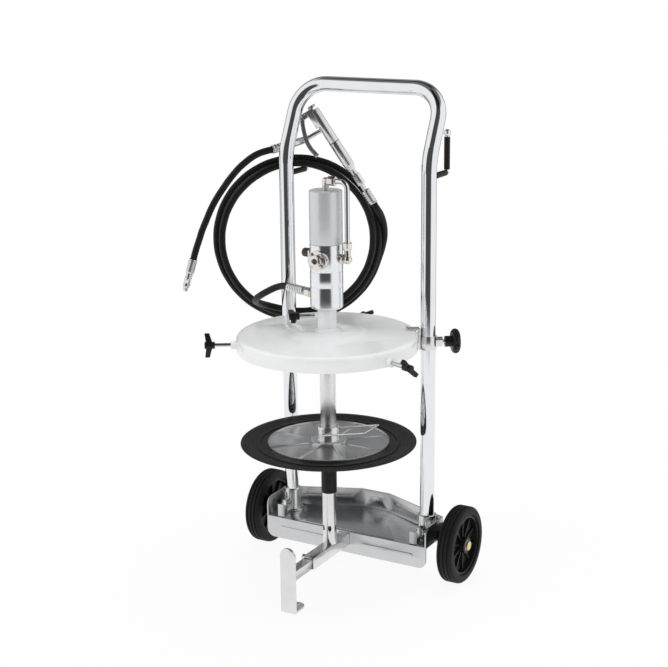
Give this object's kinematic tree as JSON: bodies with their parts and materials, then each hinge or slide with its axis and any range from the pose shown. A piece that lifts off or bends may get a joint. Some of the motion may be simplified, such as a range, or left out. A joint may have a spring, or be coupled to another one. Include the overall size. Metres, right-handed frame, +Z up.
{
  "type": "mobile grease pump",
  "caption": "Air-driven drum pump with cover, follower plate, hose and control gun, on a two-wheel trolley with a sliding front foot.",
  "frame": {"origin": "centre of the front foot's ground face, on the floor", "axes": "+Z up, +X to the right seen from the front, +Y to the back, where the wheels are"},
  "size_m": [0.611, 0.4627, 1.0181],
  "materials": {
    "chrome_tube": "polished chrome plate",
    "zinc_sheet": "bright zinc plate",
    "zinc_steel": "bright zinc plate, machined",
    "black_paint": "satin black",
    "tyre": "matt grooved rubber",
    "wheel_plastic": "moulded, low gloss",
    "bush_plastic": "moulded nylon",
    "yellow_zinc": "yellow passivated",
    "cover_paint": "white powder coat, gloss",
    "knob_plastic": "moulded, satin",
    "motor_paint": "satin silver",
    "machined_aluminium": "fine turned",
    "nickel": "nickel plate",
    "dark_steel": "dark sintered metal",
    "brass": "machined",
    "sleeve_rubber": "smooth matt",
    "follower_rubber": "smooth satin",
    "hose_rubber": "fabric-wrapped finish",
    "seal_steel": "ground"
  },
  "bodies": {
    "trolley": {"frame_tube": "chrome_tube", "base_tray": "zinc_sheet", "tube_sockets": "zinc_steel", "socket_bolts": "zinc_steel", "axle": "zinc_steel", "axle_brackets": "black_paint", "axle_caps": "yellow_zinc", "arm_tube": "zinc_steel", "hanger_rods": "chrome_tube", "hanger_sleeves": "sleeve_rubber", "drum_cover": "cover_paint", "cover_neck": "cover_paint", "motor_cylinder": "motor_paint", "motor_body": "machined_aluminium", "inlet_flange": "nickel", "flange_screws": "seal_steel", "silencer": "dark_steel", "side_elbow": "nickel", "pipe_nuts": "nickel", "air_pipe": "chrome_tube", "top_elbow": "nickel", "outlet_fitting": "brass", "suction_tube": "zinc_steel", "lower_tube": "zinc_steel", "tube_sleeve": "sleeve_rubber", "foot_valve": "seal_steel", "hose_runs": "hose_rubber", "hose_coil": "hose_rubber", "hose_ferrules": "zinc_steel", "gun_body": "zinc_steel", "gun_tube": "zinc_steel", "whip_hose": "hose_rubber", "whip_coupler": "zinc_steel"},
    "toe_foot": {"toe_plate": "zinc_steel"},
    "foot_lock": {"arm_screw": "zinc_steel"},
    "wheel_l": {"tyre_left": "tyre", "wheel_left": "wheel_plastic", "bush_left": "bush_plastic"},
    "wheel_r": {"tyre_right": "tyre", "wheel_right": "wheel_plastic", "bush_right": "bush_plastic"},
    "column_clamp": {"clamp_collar": "zinc_steel", "clamp_hook": "zinc_steel"},
    "clamp_stud": {"clamp_screw": "zinc_steel"},
    "clamp_handknob": {"clamp_knob": "knob_plastic"},
    "rim_stud_left": {"rim_screw_left": "zinc_steel"},
    "rim_wing_left": {"rim_knob_left": "knob_plastic"},
    "rim_stud_right": {"rim_screw_right": "zinc_steel"},
    "rim_wing_right": {"rim_knob_right": "knob_plastic"},
    "rim_stud_back": {"rim_screw_back": "zinc_steel"},
    "rim_wing_back": {"rim_knob_back": "knob_plastic"},
    "neck_stud": {"neck_screw": "zinc_steel"},
    "neck_wing": {"neck_knob": "knob_plastic"},
    "piston_set": {"air_piston": "machined_aluminium", "pump_rod": "seal_steel"},
    "follower": {"follower_dish": "zinc_sheet", "follower_rubber": "follower_rubber", "follower_hub": "zinc_steel"},
    "bail_wire": {"bail": "zinc_steel"},
    "gun_trigger": {"gun_lever": "zinc_steel"}
  },
  "joints": [
    {"name": "wheel_left_spin", "type": "hinge", "parent": "trolley", "child": "wheel_l", "pos_m": [0, 0.28, 0.08], "axis": [1, 0, 0], "continuous": true},
    {"name": "wheel_right_spin", "type": "hinge", "parent": "trolley", "child": "wheel_r", "pos_m": [0, 0.28, 0.08], "axis": [1, 0, 0], "continuous": true},
    {"name": "foot_slide", "type": "slide", "parent": "trolley", "child": "toe_foot", "axis": [0, -1, 0], "range_m": [-0.07, 0.05]},
    {"name": "foot_lock_turn", "type": "hinge", "parent": "trolley", "child": "foot_lock", "pos_m": [-0.012, 0.078, 0.0755], "axis": [-1, 0, 0], "range_deg": [0, 360]},
    {"name": "clamp_slide", "type": "slide", "parent": "trolley", "child": "column_clamp", "axis": [0, 0, 1], "range_m": [0, 0.28]},
    {"name": "clamp_knob_advance", "type": "slide", "parent": "column_clamp", "child": "clamp_stud", "axis": [0.8021, 0.5972, 0], "range_m": [-0.005, 0]},
    {"name": "clamp_knob_turn", "type": "hinge", "parent": "clamp_stud", "child": "clamp_handknob", "pos_m": [0.19458, 0.28889, 0.5065], "axis": [0.8021, 0.5972, 0], "range_deg": [-1445, 0]},
    {"name": "rim_left_advance", "type": "slide", "parent": "trolley", "child": "rim_stud_left", "axis": [-0.8572, -0.515, 0], "range_m": [0, 0.0025]},
    {"name": "rim_left_turn", "type": "hinge", "parent": "rim_stud_left", "child": "rim_wing_left", "pos_m": [-0.19972, 0.024, 0.5125], "axis": [-0.8572, -0.515, 0], "range_deg": [0, 725]},
    {"name": "rim_right_advance", "type": "slide", "parent": "trolley", "child": "rim_stud_right", "axis": [0.9397, -0.342, 0], "range_m": [0, 0.0025]},
    {"name": "rim_right_turn", "type": "hinge", "parent": "rim_stud_right", "child": "rim_wing_right", "pos_m": [0.21895, 0.06431, 0.5125], "axis": [0.9397, -0.342, 0], "range_deg": [0, 725]},
    {"name": "rim_back_advance", "type": "slide", "parent": "trolley", "child": "rim_stud_back", "axis": [-0.1994, 0.9799, 0], "range_m": [0, 0.0025]},
    {"name": "rim_back_turn", "type": "hinge", "parent": "rim_stud_back", "child": "rim_wing_back", "pos_m": [-0.04645, 0.37232, 0.5125], "axis": [-0.1994, 0.9799, 0], "range_deg": [0, 725]},
    {"name": "neck_knob_advance", "type": "slide", "parent": "trolley", "child": "neck_stud", "axis": [-0.788, -0.6157, 0], "range_m": [0, 0.0025]},
    {"name": "neck_knob_turn", "type": "hinge", "parent": "neck_stud", "child": "neck_wing", "pos_m": [-0.05122, 0.10398, 0.571], "axis": [-0.788, -0.6157, 0], "range_deg": [0, 725]},
    {"name": "piston_stroke", "type": "slide", "parent": "trolley", "child": "piston_set", "axis": [0, 0, 1], "range_m": [0, 0.07]},
    {"name": "follower_slide", "type": "slide", "parent": "trolley", "child": "follower", "axis": [0, 0, 1], "range_m": [-0.15, 0.11]},
    {"name": "bail_swing", "type": "hinge", "parent": "follower", "child": "bail_wire", "pos_m": [0, 0.144, 0.328], "axis": [0, -1, 0], "range_deg": [0, 45]},
    {"name": "lever_pull", "type": "hinge", "parent": "trolley", "child": "gun_trigger", "pos_m": [-0.14734, 0.3155, 0.93654], "axis": [0.4571, -0.8894, 0], "range_deg": [0, 18], "stiffness_Nm_per_rad": 0.5}
  ],
  "couplings": [
    {"joint": "clamp_knob_turn", "follows": "clamp_knob_advance", "rad_per_m": 5026.5},
    {"joint": "rim_left_turn", "follows": "rim_left_advance", "rad_per_m": 5026.5},
    {"joint": "rim_right_turn", "follows": "rim_right_advance", "rad_per_m": 5026.5},
    {"joint": "rim_back_turn", "follows": "rim_back_advance", "rad_per_m": 5026.5},
    {"joint": "neck_knob_turn", "follows": "neck_knob_advance", "rad_per_m": 5026.5}
  ]
}
